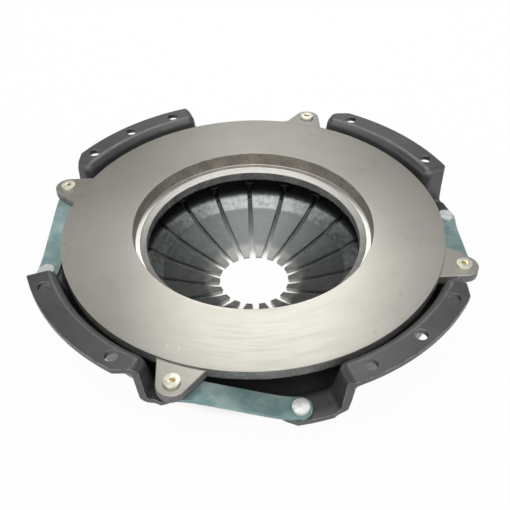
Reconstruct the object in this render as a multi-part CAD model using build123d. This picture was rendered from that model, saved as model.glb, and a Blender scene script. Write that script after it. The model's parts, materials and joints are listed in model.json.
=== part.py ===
from build123d import *
import math
import os

os.makedirs("parts", exist_ok=True)

# Diaphragm-spring clutch pressure plate for a truck, as it lies before it is bolted up
# Frame: Z is the clutch axis and points to the flywheel, Z = 0 is the face of the bolting flanges
# Lengths in millimetres, angles in degrees

# Cover, one pressing of thick sheet
sheet = 4.5
wall_gap = 7.5
flange_width = 21.5
flange_count = 4
flange_first_deg = 45.0
bolt_inset = 10.0
bolt_hole_r = 5.0
bolt_offset_deg = 15.0
dowel_hole_r = 5.0
dowel_flanges = (1, 3)
hole_bevel = 0.5
wall_slope = 0.2
floor_margin = 9.0
floor_slope = 0.1
seat_rise = 17.65
leading_end_deg = 22.4
leading_end_tilt = 4.5
trailing_end_deg = 21.5
trailing_end_tilt = 5.0
flange_bend = 7.0
corner_bend = 8.0
foot_bend = 4.0
bowl_bend = 10.0
floor_bend = 20.0

# Rim of the cover, trimmed in plan
tongue_inset = 3.2
tongue_corner_deg = 57.8
tongue_flare_deg = 1.0
tongue_side_inset = 7.9
tongue_side_deg = 55.4
tongue_foot_deg = 50.5
bay_margin = 1.0
bay_start_deg = 30.0
slant_start_deg = 17.4
toe_inset = 11.7
toe_start_deg = 24.6
toe_end_deg = 26.6
notch_r = 7.5
notch_offset = 2.8
notch_deg = 22.6
trim_round = 2.5

# Pressure plate casting
plate_r = 165.0
face_width = 60.6
face_drop = 5.9
step_lean = 0.6
step_depth = 12.9
ledge_width = 4.6
ledge_fall = 0.5
ledge_bevel = 0.4
cone_width = 5.2
cone_fall = 2.2
bore_bevel = 1.5
plate_depth = 25.0
rim_depth = 10.8
rim_round = 3.5
rim_fall = 2.0
rim_width = 12.0
shoulder_run = 5.5
fulcrum_height = 4.51
fulcrum_width = 4.0
fulcrum_foot = 9.0
fulcrum_round = 1.4
face_bevel = 0.6
lug_offset_deg = 30.0
lug_reach = 16.1
lug_nose_r = 12.0
lug_base_half = 19.5
lug_step = 1.75
lug_thickness = 8.5

# Diaphragm spring
finger_count = 18
slot_first_deg = 95.6
spring_thickness = 3.6
spring_margin = 4.0
tip_r = 32.5
fulcrum_inset = 4.5
pivot_reach = 27.0
rim_slope = 0.28
kink_reach = 17.0
kink_slope = 0.68
kink_width = 12.0
finger_slope = 0.38
finger_bend = 9.0
slot_tip_width = 5.9
slot_root_width = 4.6
window_width = 9.0
window_length = 14.0
window_round = 3.0
window_margin = 0.6

# Pivot rings and their rivets
ring_wire = 4.0
pivot_shank_r = 3.5
pivot_head_r = 7.4
pivot_head_height = 2.6
pivot_foot_r = 6.4
pivot_foot_height = 3.0
pivot_bevel = 1.0
cover_hole_margin = 1.6

# Drive straps
leaf_count = 3
leaf_thickness = 1.0
strap_width = 19.5
strap_overhang = 8.4
strap_corner = 8.0
strap_flat = 14.0
strap_bend = 60.0
strap_offset_deg = 59.0
strap_seat_inset = 9.0

# Rivets of the straps
shank_r = 4.6
lug_head_r = 6.4
lug_head_height = 1.5
lug_collar_r = 6.1
lug_collar_height = 1.3
lug_centre_r = 1.5
lug_centre_depth = 2.0
strap_head_r = 6.8
strap_head_height = 3.2
rivet_foot_r = 6.8
rivet_foot_height = 2.8
head_bevel = 0.5

# Clearances
shank_gap = 0.1
plate_gap = 0.3
ring_gap = 0.1

# Radii that follow from the sizes above, from the plate outwards
flange_angles = [flange_first_deg + i * 360 / flange_count for i in range(flange_count)]
lug_rivet_r = plate_r + lug_reach
wall_top_r = plate_r + wall_gap
strap_rivet_r = wall_top_r + strap_seat_inset
bay_r = wall_top_r + bay_margin
flange_r = wall_top_r + flange_width
bolt_circle_r = flange_r - bolt_inset
tongue_r = flange_r - tongue_inset
tongue_side_r = flange_r - tongue_side_inset
toe_r = flange_r - toe_inset
notch_centre_r = flange_r + notch_offset
big_r = 1.15 * flange_r

# Radii that follow, from the plate inwards
face_inner_r = plate_r - face_width
step_r = face_inner_r - step_lean
ledge_r = step_r - ledge_width
bore_r = ledge_r - cone_width
rim_inner_r = plate_r - rim_width
shoulder_r = rim_inner_r - shoulder_run
spring_r = shoulder_r - spring_margin
fulcrum_r = spring_r - fulcrum_inset
pivot_r = fulcrum_r - pivot_reach
kink_outer_r = pivot_r - kink_reach
kink_inner_r = kink_outer_r - kink_width
floor_flat_r = pivot_r + floor_margin


def polar(radius, deg):
    """Point in plan at a radius and an angle."""
    return (radius * math.cos(math.radians(deg)), radius * math.sin(math.radians(deg)))


def lean(slope):
    """Length of a sloping line over its run."""
    return math.sqrt(1 + slope * slope)


def disc(radius, bottom, top, x=0.0, y=0.0):
    """Upright cylinder between two heights."""
    return Pos(x, y, bottom) * Cylinder(radius, top - bottom, align=(Align.CENTER, Align.CENTER, Align.MIN))


def prism(plan, bottom, top):
    """Plan outline raised between two heights."""
    return Pos(0, 0, bottom) * extrude(plan, top - bottom)


def corners_at(face, *points):
    """Corners of a flat section nearest to the given points."""
    return [face.vertices().sort_by(lambda v: (Vector(v) - Vector(*p)).length)[0] for p in points]


def spring_z(radius):
    """Height of the middle of the spring's sheet at a radius."""
    outer = pivot_z + (kink_outer_r - pivot_r) * rim_slope
    inner = outer - (kink_outer_r - kink_inner_r) * kink_slope
    if radius >= kink_outer_r:
        return pivot_z + (radius - pivot_r) * rim_slope
    if radius >= kink_inner_r:
        return outer - (kink_outer_r - radius) * kink_slope
    return inner - (kink_inner_r - radius) * finger_slope


# Heights that follow, from the friction face down to the back of the cover
wire_r = ring_wire / 2
pack_thickness = leaf_count * leaf_thickness
face_z = -face_drop
back_z = face_z - plate_depth
lug_top_z = face_z - lug_step
lug_bottom_z = lug_top_z - lug_thickness
fulcrum_z = back_z - fulcrum_height
spring_half = spring_thickness / 2 * lean(rim_slope)
pivot_z = fulcrum_z - plate_gap - spring_half - (fulcrum_r + fulcrum_width / 2 - pivot_r) * rim_slope
ring_offset = (spring_thickness / 2 + wire_r + ring_gap) * lean(rim_slope)
upper_ring_z = pivot_z + ring_offset
lower_ring_z = pivot_z - ring_offset
floor_z = lower_ring_z - wire_r - ring_gap
seat_z = floor_z + seat_rise
pivot_head_z = upper_ring_z + wire_r + ring_gap
pivot_rivet_r = pivot_r - wire_r - pivot_shank_r - ring_gap
cover_bore_r = pivot_rivet_r - pivot_foot_r - cover_hole_margin


def cover_profile(inset):
    """Section of all that lies under the cover's skin, with the skin moved in by a distance."""
    cone_drop = inset * lean(floor_slope)
    wall_start = wall_top_r + inset * lean(wall_slope)
    bottom = floor_z - inset
    flat_end = floor_flat_r + (cone_drop - inset) / floor_slope
    cone_start = floor_z - floor_slope * floor_flat_r - cone_drop
    foot_r = (wall_start + wall_slope * cone_start) / (1 - wall_slope * floor_slope)
    foot_z = cone_start + floor_slope * foot_r
    inner = cover_bore_r - 3 * sheet
    corners = [
        (inner, bottom),
        (flat_end, bottom),
        (foot_r, foot_z),
        (wall_start - wall_slope * inset, -inset),
        (big_r, -inset),
        (big_r, bottom - big_r),
        (inner, bottom - big_r),
    ]
    face = make_face(Polyline(*corners, close=True))
    face = fillet(corners_at(face, (foot_r, foot_z)), bowl_bend + inset)
    return fillet(corners_at(face, (flat_end, bottom)), floor_bend + inset)


def flange_side(deg, tilt, side, inset):
    """Large block on the flange's side of one sloping end, side +1 for the leading end."""
    block = Pos(0, -side * (big_r + inset), 0) * Box(4 * big_r, 2 * big_r, 4 * big_r)
    return Rot(0, 0, deg) * (Rot(side * tilt, 0, 0) * block)


def pocket(centre, inset):
    """Space above the strap seat between one flange and the next."""
    following = centre + 360 / flange_count
    block = Pos(1.5 * big_r, 0, seat_z - inset + big_r / 2) * Box(2 * big_r, 2 * big_r, big_r)
    block = Rot(0, 0, (centre + following) / 2) * block
    block = block - flange_side(centre + leading_end_deg, leading_end_tilt, 1, inset)
    return block - flange_side(following - trailing_end_deg, trailing_end_tilt, -1, inset)


def at_height(edges, z):
    """Edges that lie flat at a height."""
    return [e for e in edges if all(abs(v.Z - z) < 0.01 for v in e.vertices())]


def cover_form(inset):
    """Solid under the cover's skin: bowl, shelf and four raised flanges with rounded bends."""
    form = revolve(Plane.XZ * cover_profile(inset), Axis.Z)
    for centre in flange_angles:
        form = form - pocket(centre, inset)
    shelf = at_height(form.edges(), seat_z - inset)
    feet = [e for e in shelf if e.geom_type == GeomType.LINE]
    form = fillet(feet, foot_bend + inset)
    shelf = at_height(form.edges(), seat_z - inset)
    brinks = [e for e in shelf if e.geom_type == GeomType.CIRCLE and e.radius < bay_r]
    form = fillet(brinks, corner_bend - inset)
    top = at_height(form.edges(), -inset)
    brows = [e for e in top if e.geom_type == GeomType.CIRCLE and abs(e.radius - wall_top_r) < 2 * sheet]
    return fillet(brows, flange_bend - inset)


def bay(centre):
    """Part of the rim that is cut away beside one flange, under the strap."""
    slant_start = Vector(*polar(flange_r, centre + slant_start_deg))
    slant_end = Vector(*polar(toe_r, centre + toe_start_deg))
    side = [
        slant_start + (slant_start - slant_end),
        slant_end,
        polar(toe_r, centre + toe_end_deg),
        polar(bay_r, centre + bay_start_deg),
    ]
    far = [
        polar(bay_r, centre + tongue_foot_deg),
        polar(tongue_side_r, centre + tongue_side_deg),
        polar(tongue_r, centre + tongue_corner_deg),
        polar(big_r, centre + tongue_corner_deg + tongue_flare_deg),
    ]
    middle = polar(bay_r, centre + (bay_start_deg + tongue_foot_deg) / 2)
    outside = polar(1.6 * big_r, centre + (bay_start_deg + tongue_foot_deg) / 2)
    lines = Polyline(*side) + ThreePointArc(side[-1], middle, far[0]) + Polyline(*far)
    return make_face(lines + Polyline(far[-1], outside, side[0]))


def cover_outline():
    """Trimmed outline of the cover in plan."""
    plan = Circle(flange_r)
    for centre in flange_angles:
        plan = plan - bay(centre)
        start = centre + tongue_side_deg
        end = centre + 360 / flange_count - notch_deg
        rays = [polar(2 * big_r, deg) for deg in (start, (start + end) / 2, end)]
        tongue_band = Circle(big_r) - Circle(tongue_r)
        plan = plan - (tongue_band & make_face(Polyline((0, 0), *rays, close=True)))
        x, y = polar(notch_centre_r, centre - notch_deg)
        plan = plan - Pos(x, y) * Circle(notch_r)
    corners = [v for v in plan.vertices() if Vector(v).length > bay_r - trim_round]
    return fillet(corners, trim_round)


def bevelled_hole(radius, deg, hole_r):
    """Tool for one flange hole with a bevelled top rim."""
    x, y = polar(radius, deg)
    height = 2 * hole_bevel
    cone = Pos(x, y) * Cone(hole_r, hole_r + height, height)
    return disc(hole_r, -3 * sheet, sheet, x, y) + cone


def slot_angles():
    """Angles of the slots between the fingers."""
    return [slot_first_deg + i * 360 / finger_count for i in range(finger_count)]


def strap_ends(index):
    """Angles of a strap's lug rivet and cover rivet."""
    return flange_angles[index] + lug_offset_deg, flange_angles[index] + strap_offset_deg


def make_cover():
    """Pressed cover: bowl, flanges, strap seats, trimmed rim and all holes."""
    skin = cover_form(0) - cover_form(sheet)
    skin = skin & prism(cover_outline(), floor_z - 2 * sheet, sheet)
    skin = skin - disc(cover_bore_r, floor_z - 3 * sheet, 0)
    for index, centre in enumerate(flange_angles):
        for offset in (-bolt_offset_deg, bolt_offset_deg):
            skin = skin - bevelled_hole(bolt_circle_r, centre + offset, bolt_hole_r)
        if index in dowel_flanges:
            skin = skin - bevelled_hole(bolt_circle_r, centre, dowel_hole_r)
        x, y = polar(strap_rivet_r, strap_ends(index)[1])
        skin = skin - disc(shank_r + shank_gap, seat_z - 2 * sheet, seat_z + sheet, x, y)
    for deg in slot_angles():
        x, y = polar(pivot_rivet_r, deg)
        skin = skin - disc(pivot_shank_r + shank_gap, floor_z - 2 * sheet, floor_z + sheet, x, y)
    return skin


def lug_plan(deg):
    """Outline of one lug: round nose about its rivet and sides that widen to the rim."""
    base = (math.sqrt(plate_r**2 - lug_base_half**2), lug_base_half)
    root = plate_r - lug_nose_r
    reach = math.hypot(base[0] - lug_rivet_r, base[1])
    turn = math.degrees(math.atan2(base[1], base[0] - lug_rivet_r))
    dx, dy = polar(lug_nose_r, turn - math.degrees(math.acos(lug_nose_r / reach)))
    side = (lug_rivet_r + dx, dy)
    tip = (lug_rivet_r + lug_nose_r, 0)
    other_side = (side[0], -side[1])
    other_base = (base[0], -base[1])
    outline = Polyline(side, base, (root, base[1]), (root, -base[1]), other_base, other_side)
    outline = outline + ThreePointArc(other_side, tip, side)
    return Rot(0, 0, deg) * make_face(outline)


def make_pressure_plate():
    """Iron casting: ring-shaped friction face, stepped bore, fulcrum ring and four lugs."""
    ledge_z = face_z - step_depth - ledge_fall
    fulcrum_out = fulcrum_r + fulcrum_width / 2
    fulcrum_in = fulcrum_r - fulcrum_width / 2
    flare = (fulcrum_foot - fulcrum_width) / 2
    points = [
        (face_inner_r, face_z - face_bevel),
        (face_inner_r + face_bevel, face_z),
        (plate_r - face_bevel, face_z),
        (plate_r, face_z - face_bevel),
        (plate_r, face_z - rim_depth),
        (rim_inner_r, face_z - rim_depth - rim_fall),
        (shoulder_r, back_z),
        (fulcrum_out + flare, back_z),
        (fulcrum_out, fulcrum_z),
        (fulcrum_in, fulcrum_z),
        (fulcrum_in - flare, back_z),
        (bore_r + bore_bevel, back_z),
        (bore_r, back_z + bore_bevel),
        (bore_r, ledge_z - ledge_bevel - cone_fall),
        (ledge_r, ledge_z - ledge_bevel),
        (ledge_r + ledge_bevel, ledge_z),
        (step_r, face_z - step_depth),
    ]
    section = make_face(Polyline(*points, close=True))
    section = fillet(corners_at(section, (fulcrum_out, fulcrum_z), (fulcrum_in, fulcrum_z)), fulcrum_round)
    section = fillet(corners_at(section, (plate_r, face_z - rim_depth)), rim_round)
    plate = revolve(Plane.XZ * section, Axis.Z)
    for index in range(flange_count):
        lug = prism(lug_plan(strap_ends(index)[0]), lug_bottom_z, lug_top_z)
        plate = plate + chamfer(at_height(lug.edges(), lug_top_z), face_bevel)
    for index in range(flange_count):
        x, y = polar(lug_rivet_r, strap_ends(index)[0])
        plate = plate - disc(shank_r + shank_gap, lug_bottom_z - lug_thickness, face_z, x, y)
    return plate


def slot_plan():
    """Plan of one slot with the window at its root, along +X."""
    window_end = pivot_rivet_r + pivot_shank_r + window_margin
    window_start = window_end - window_length
    slot = Polyline(
        (tip_r / 2, slot_tip_width / 2),
        (tip_r, slot_tip_width / 2),
        (window_start + window_round, slot_root_width / 2),
        (window_start + window_round, -slot_root_width / 2),
        (tip_r, -slot_tip_width / 2),
        (tip_r / 2, -slot_tip_width / 2),
        close=True,
    )
    window = RectangleRounded(window_length, window_width, window_round)
    return make_face(slot) + Pos((window_start + window_end) / 2, 0) * window


def make_spring():
    """Dished spring disc cut into fingers."""
    points = [(r, spring_z(r)) for r in (tip_r, kink_inner_r, kink_outer_r, spring_r)]
    section = trace(FilletPolyline(*points, radius=finger_bend), line_width=spring_thickness)
    disc_spring = revolve(Plane.XZ * section, Axis.Z)
    low = spring_z(tip_r) - 4 * spring_thickness
    for deg in slot_angles():
        disc_spring = disc_spring - prism(Rot(0, 0, deg) * slot_plan(), low, 0)
    return disc_spring


def make_pivot_ring(height):
    """Round-wire ring that the spring tilts on."""
    return Pos(0, 0, height) * Torus(pivot_r, wire_r)


def make_pivot_rivets():
    """Headed rivets through the windows of the spring."""
    under = floor_z - sheet
    rivets = []
    for deg in slot_angles():
        x, y = polar(pivot_rivet_r, deg)
        rivet = disc(pivot_shank_r, under, pivot_head_z, x, y)
        rivet = rivet + disc(pivot_head_r, pivot_head_z, pivot_head_z + pivot_head_height, x, y)
        rivet = rivet + disc(pivot_foot_r, under - pivot_foot_height, under, x, y)
        rims = [e for e in rivet.edges() if abs(e.center().Z - pivot_head_z - pivot_head_height) < 0.01]
        rims += [e for e in rivet.edges() if abs(e.center().Z - under + pivot_foot_height) < 0.01]
        rivets.append(chamfer(rims, pivot_bevel))
    return Compound(children=rivets)


def strap_frame(index):
    """Plane at a strap's lug rivet with X towards its cover rivet, and the distance between them."""
    lug_deg, seat_deg = strap_ends(index)
    x0, y0 = polar(lug_rivet_r, lug_deg)
    x1, y1 = polar(strap_rivet_r, seat_deg)
    heading = math.degrees(math.atan2(y1 - y0, x1 - x0))
    return Pos(x0, y0, 0) * Rot(0, 0, heading), math.hypot(x1 - x0, y1 - y0)


def make_leaf(index, level):
    """One leaf of a strap pack: flat at both rivets and sloping between them."""
    place, span = strap_frame(index)
    low = seat_z + (leaf_count - 1 - level) * leaf_thickness
    high = lug_bottom_z - (level + 1) * leaf_thickness
    points = [
        (-strap_overhang, high),
        (strap_flat, high),
        (span - strap_flat, low),
        (span + strap_overhang, low),
    ]
    lower = FilletPolyline(*points, radius=strap_bend)
    upper = Pos(0, leaf_thickness) * lower
    ends = Line(lower @ 0, upper @ 0) + Line(lower @ 1, upper @ 1)
    side = Plane.XZ * make_face(lower.edges() + upper.edges() + ends.edges())
    leaf = extrude(side, strap_width / 2, both=True)
    length = span + 2 * strap_overhang
    plan = Pos(span / 2, 0) * RectangleRounded(length, strap_width, strap_corner)
    leaf = leaf & prism(plan, 2 * low, 0)
    leaf = leaf - disc(shank_r + shank_gap, 2 * low, 0) - disc(shank_r + shank_gap, 2 * low, 0, span, 0)
    return place * leaf


def make_lug_rivet(index):
    """Rivet that joins a strap pack to its lug, with a stepped head and a small centre hole."""
    x, y = polar(lug_rivet_r, strap_ends(index)[0])
    foot = lug_bottom_z - pack_thickness
    collar_top = lug_top_z + lug_collar_height
    head_top = collar_top + lug_head_height
    rivet = disc(shank_r, foot, lug_top_z)
    rivet = rivet + disc(lug_collar_r, lug_top_z, collar_top)
    rivet = rivet + disc(lug_head_r, collar_top, head_top)
    rivet = rivet + disc(rivet_foot_r, foot - rivet_foot_height, foot)
    rims = [e for e in rivet.edges() if abs(e.center().Z - head_top) < 0.01]
    rims += [e for e in rivet.edges() if abs(e.center().Z - foot + rivet_foot_height) < 0.01]
    rivet = chamfer(rims, head_bevel)
    rivet = rivet - disc(lug_centre_r, head_top - lug_centre_depth, head_top + 1)
    return Pos(x, y, 0) * rivet


def make_strap_rivet(index):
    """Rivet that joins a strap pack to its seat on the cover."""
    x, y = polar(strap_rivet_r, strap_ends(index)[1])
    pack_top = seat_z + pack_thickness
    head_top = pack_top + strap_head_height
    foot = seat_z - sheet
    rivet = disc(shank_r, foot, pack_top)
    rivet = rivet + disc(strap_head_r, pack_top, head_top)
    rivet = rivet + disc(rivet_foot_r, foot - rivet_foot_height, foot)
    rims = [e for e in rivet.edges() if abs(e.center().Z - head_top) < 0.01]
    rims += [e for e in rivet.edges() if abs(e.center().Z - foot + rivet_foot_height) < 0.01]
    return Pos(x, y, 0) * chamfer(rims, head_bevel)


def save(solid, name):
    """Write one piece under its own name."""
    solid.label = name
    export_step(solid, os.path.join("parts", name + ".step"))


save(make_cover(), "cover")
save(make_pressure_plate(), "pressure_plate")
save(make_spring(), "diaphragm_spring")
save(make_pivot_ring(upper_ring_z), "upper_pivot_ring")
save(make_pivot_ring(lower_ring_z), "lower_pivot_ring")
save(make_pivot_rivets(), "pivot_rivets")
for strap in range(flange_count):
    save(make_lug_rivet(strap), f"lug_rivet_{strap + 1}")
    save(make_strap_rivet(strap), f"strap_rivet_{strap + 1}")
    for leaf_level in range(leaf_count):
        save(make_leaf(strap, leaf_level), f"strap_{strap + 1}_leaf_{leaf_level + 1}")
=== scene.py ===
"""Dresses the CAD model of a clutch pressure plate: finishes, finely meshed pieces, light and camera."""

import json
import math

import bmesh
import bpy
from mathutils import Matrix, Vector, noise

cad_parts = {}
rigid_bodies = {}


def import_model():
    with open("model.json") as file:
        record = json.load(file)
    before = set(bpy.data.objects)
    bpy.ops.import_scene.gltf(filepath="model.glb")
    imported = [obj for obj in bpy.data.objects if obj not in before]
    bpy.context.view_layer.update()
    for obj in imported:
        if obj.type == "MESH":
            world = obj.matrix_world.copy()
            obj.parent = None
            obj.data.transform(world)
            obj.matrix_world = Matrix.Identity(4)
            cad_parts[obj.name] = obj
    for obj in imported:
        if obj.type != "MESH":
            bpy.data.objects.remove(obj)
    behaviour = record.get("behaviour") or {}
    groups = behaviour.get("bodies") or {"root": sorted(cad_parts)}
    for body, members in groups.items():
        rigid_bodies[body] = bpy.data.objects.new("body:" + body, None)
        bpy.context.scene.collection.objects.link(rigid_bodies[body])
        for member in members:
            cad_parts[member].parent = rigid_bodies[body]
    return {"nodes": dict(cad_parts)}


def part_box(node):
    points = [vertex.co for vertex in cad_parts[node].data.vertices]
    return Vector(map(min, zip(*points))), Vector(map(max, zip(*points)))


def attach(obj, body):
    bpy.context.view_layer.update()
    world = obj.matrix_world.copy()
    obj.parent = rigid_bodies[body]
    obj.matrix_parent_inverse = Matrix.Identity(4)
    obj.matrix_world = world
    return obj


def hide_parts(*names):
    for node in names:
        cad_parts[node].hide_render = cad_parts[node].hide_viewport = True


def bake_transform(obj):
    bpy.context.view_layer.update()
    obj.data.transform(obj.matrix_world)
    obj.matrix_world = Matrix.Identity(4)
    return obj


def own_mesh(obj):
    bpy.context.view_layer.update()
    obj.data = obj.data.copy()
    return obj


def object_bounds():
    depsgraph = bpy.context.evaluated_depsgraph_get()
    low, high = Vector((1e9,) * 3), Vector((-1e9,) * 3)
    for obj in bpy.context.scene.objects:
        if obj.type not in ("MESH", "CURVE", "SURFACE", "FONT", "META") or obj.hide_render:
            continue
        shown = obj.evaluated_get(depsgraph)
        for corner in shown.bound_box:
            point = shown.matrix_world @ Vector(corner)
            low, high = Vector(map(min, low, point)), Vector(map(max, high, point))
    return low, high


bl_info = {
    "name": "Clutch Pressure Plate",
    "version": (1, 0, 0),
    "blender": (4, 5, 0),
    "location": "3D View > Sidebar > Clutch",
    "description": "Dresses a diaphragm-spring clutch pressure plate and sets its studio",
    "category": "Object",
}

STRAP_COUNT = 4
MESH_SHARP = math.radians(38)
ON_AXIS = 1e-7
CASTING_STEPS = 600
RIVET_STEPS = 64
PIVOT_RIVET_STEPS = 40

for startup_object in list(bpy.data.objects):
    bpy.data.objects.remove(startup_object)
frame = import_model()
NODES = frame["nodes"]
CAD_BOX = [list(corner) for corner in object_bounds()]
FLOOR_HEIGHT = CAD_BOX[0][2]


# Properties


def length(name, description, default):
    """Length in metres that the sidebar shows in the scene's unit."""
    return bpy.props.FloatProperty(
        name=name, description=description, default=default, unit="LENGTH", precision=5
    )


def turn(name, description, degrees):
    """Angle that the sidebar shows in degrees."""
    return bpy.props.FloatProperty(
        name=name, description=description, default=math.radians(degrees), subtype="ANGLE"
    )


def colour(name, description, default):
    """Colour without alpha, in linear values."""
    return bpy.props.FloatVectorProperty(
        name=name, description=description, default=default, subtype="COLOR", size=3, min=0.0, max=1.0
    )


def position(name, description, default):
    """Point in the frame of the part."""
    return bpy.props.FloatVectorProperty(
        name=name, description=description, default=default, subtype="XYZ", unit="LENGTH"
    )


def number(name, description, default):
    """Plain number from 0 up, such as a rise over run or a brightness in which 1 is plain white."""
    return bpy.props.FloatProperty(name=name, description=description, default=default, min=0.0)


class CastingSizes(bpy.types.PropertyGroup):
    """Sizes of the iron pressure plate."""

    outer_radius: length("Outer Radius", "Outer radius of the friction face", 0.165)
    face_inner_radius: length("Face Bore", "Inner radius of the friction face", 0.1044)
    face_height: length("Face Height", "Height of the friction face", -0.0059)
    face_edge: length("Face Edge", "Rounding of the friction face's two edges", 0.0005)
    step_radius: length("Step Radius", "Radius of the turned step at its foot", 0.1038)
    step_height: length("Step Height", "Height of the turned ledge at the step", -0.0188)
    ledge_radius: length("Ledge Radius", "Inner radius of the turned ledge", 0.0992)
    ledge_height: length("Ledge Height", "Height of the ledge's inner edge", -0.0193)
    bore_radius: length("Bore Radius", "Radius of the bore below the turned cone", 0.094)
    bore_height: length("Bore Height", "Height of the turned cone's lower edge", -0.0219)
    back_height: length("Back Height", "Height of the cast back", -0.0309)
    rim_height: length("Rim Height", "Height of the underside of the outer rim", -0.0167)
    rim_edge: length("Rim Edge", "Rounding of the outer rim's lower edge", 0.0035)
    rim_radius: length("Rim Radius", "Radius where the rim meets the shoulder", 0.153)
    rim_foot: length("Rim Foot", "Height where the rim meets the shoulder", -0.0187)
    shoulder_radius: length("Shoulder Radius", "Radius of the shoulder on the back", 0.1475)
    fulcrum_radius: length("Fulcrum Radius", "Radius of the ridge that the spring presses on", 0.139)
    fulcrum_width: length("Fulcrum Width", "Width of the ridge that the spring presses on", 0.004)
    fulcrum_flare: length("Fulcrum Flare", "Widening of the ridge on each side at its foot", 0.0025)
    lug_nose: length("Lug Nose", "Radius of the lug's nose", 0.012)
    lug_base: length("Lug Base", "Half the width of the lug at the rim", 0.0195)
    lug_top: length("Lug Top", "Height of the lug's ground top", -0.00765)
    lug_bottom: length("Lug Bottom", "Height of the lug's underside", -0.01615)
    lug_edge: length("Lug Edge", "Rounding of the lug's edges", 0.0006)
    grain: length("Casting Grain", "Height of the uneven skin of the casting", 0.00022)
    ragged: length("Ragged Edge", "How uneven the lower edge of the cast bore is", 0.0008)


class SpringSizes(bpy.types.PropertyGroup):
    """Sizes of the diaphragm spring."""

    fingers: bpy.props.IntProperty(name="Fingers", description="Number of fingers", default=18, min=3)
    first_slot: turn("First Slot", "Angle of the first slot", 95.6)
    thickness: length("Thickness", "Thickness of the sheet", 0.0036)
    outer_radius: length("Outer Radius", "Radius of the spring's rim", 0.1435)
    tip_radius: length("Tip Radius", "Radius of the circle of the fingertips", 0.0325)
    pivot_radius: length("Pivot Radius", "Radius of the pivot rings", 0.112)
    pivot_height: length("Pivot Height", "Height of the spring's middle at the pivot", -0.0457)
    rim_slope: number("Rim Slope", "Rise over run of the rim", 0.28)
    kink_slope: number("Kink Slope", "Rise over run of the steep band", 0.68)
    finger_slope: number("Finger Slope", "Rise over run of a finger", 0.38)
    finger_curl: number("Finger Curl", "How much flatter a finger lies at its tip than at its root", 0.2)
    outer_kink: length("Outer Kink", "Radius of the bend above the steep band", 0.095)
    outer_ease: length("Outer Ease", "Half the width of the outer bend", 0.0024)
    inner_kink: length("Inner Kink", "Radius of the bend below the steep band", 0.083)
    inner_ease: length("Inner Ease", "Half the width of the inner bend", 0.0012)
    slot_tip: length("Slot at Tip", "Width of a slot at the fingertips", 0.0059)
    slot_root: length("Slot at Root", "Width of a slot where it meets its window", 0.0046)
    window_width: length("Window Width", "Width of the window at a slot's root", 0.009)
    window_start: length("Window Start", "Radius where a window begins", 0.1015)
    window_end: length("Window End", "Radius where a window ends", 0.1105)
    window_round: length("Window Corner", "Corner radius of a window", 0.003)
    edge: length("Edge", "Rounding of the spring's edges", 0.0004)


class StrapSizes(bpy.types.PropertyGroup):
    """Sizes of the drive straps."""

    leaves: bpy.props.IntProperty(name="Leaves", description="Leaves in one strap pack", default=3, min=1)
    thickness: length("Leaf Thickness", "Thickness of one leaf", 0.001)
    width: length("Width", "Width of a leaf", 0.0184)
    overhang: length("Overhang", "Length of a leaf beyond its rivets", 0.0084)
    corner: length("Corner", "Corner radius of a leaf", 0.008)
    inset: length("Inset", "How far a leaf's middle lies inside the line of its rivets", 0.0006)
    flat: length("Flat", "Length that lies flat from a rivet on", 0.014)
    ease: length("Ease", "Half the length of each bend", 0.0071)
    edge: length("Edge", "Rounding of a leaf's edges", 0.00016)
    stray: length("Stray", "How far a leaf's edge may stand off from the next one's", 0.0002)
    first_lug: turn("First Lug", "Angle of the first lug rivet", 75.0)
    first_seat: turn("First Seat", "Angle of the first cover rivet", 104.0)
    lug_radius: length("Lug Circle", "Radius of the circle of the lug rivets", 0.1811)
    seat_radius: length("Seat Circle", "Radius of the circle of the cover rivets", 0.1815)
    seat_height: length("Seat Height", "Height of the strap seat on the cover", -0.0342)


class RivetSizes(bpy.types.PropertyGroup):
    """Sizes of the strap rivets and the pivot rivets."""

    shank: length("Shank", "Radius of a strap rivet's shank", 0.0046)
    foot: length("Foot", "Radius of a strap rivet's foot", 0.0068)
    foot_height: length("Foot Height", "Height of a strap rivet's foot", 0.0028)
    lug_collar: length("Lug Collar", "Radius of the collar under a lug rivet's head", 0.0061)
    lug_collar_height: length("Collar Height", "Height of that collar", 0.0013)
    lug_head: length("Lug Head", "Radius of a lug rivet's head", 0.0064)
    lug_head_height: length("Lug Head Height", "Height of a lug rivet's head", 0.0015)
    cover_head: length("Cover Head", "Radius of a cover rivet's head", 0.0068)
    cover_head_height: length("Cover Head Height", "Height of a cover rivet's head", 0.0032)
    pivot_circle: length("Pivot Circle", "Radius of the circle of the pivot rivets", 0.1064)
    pivot_shank: length("Pivot Shank", "Radius of a pivot rivet's shank", 0.0035)
    pivot_foot: length("Pivot Foot", "Radius of a pivot rivet's foot", 0.0064)
    pivot_foot_height: length("Pivot Foot Height", "Height of a pivot rivet's foot", 0.003)
    pivot_head: length("Pivot Head", "Radius of a pivot rivet's head", 0.0074)
    pivot_head_height: length("Pivot Head Height", "Height of a pivot rivet's head", 0.0026)


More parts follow.
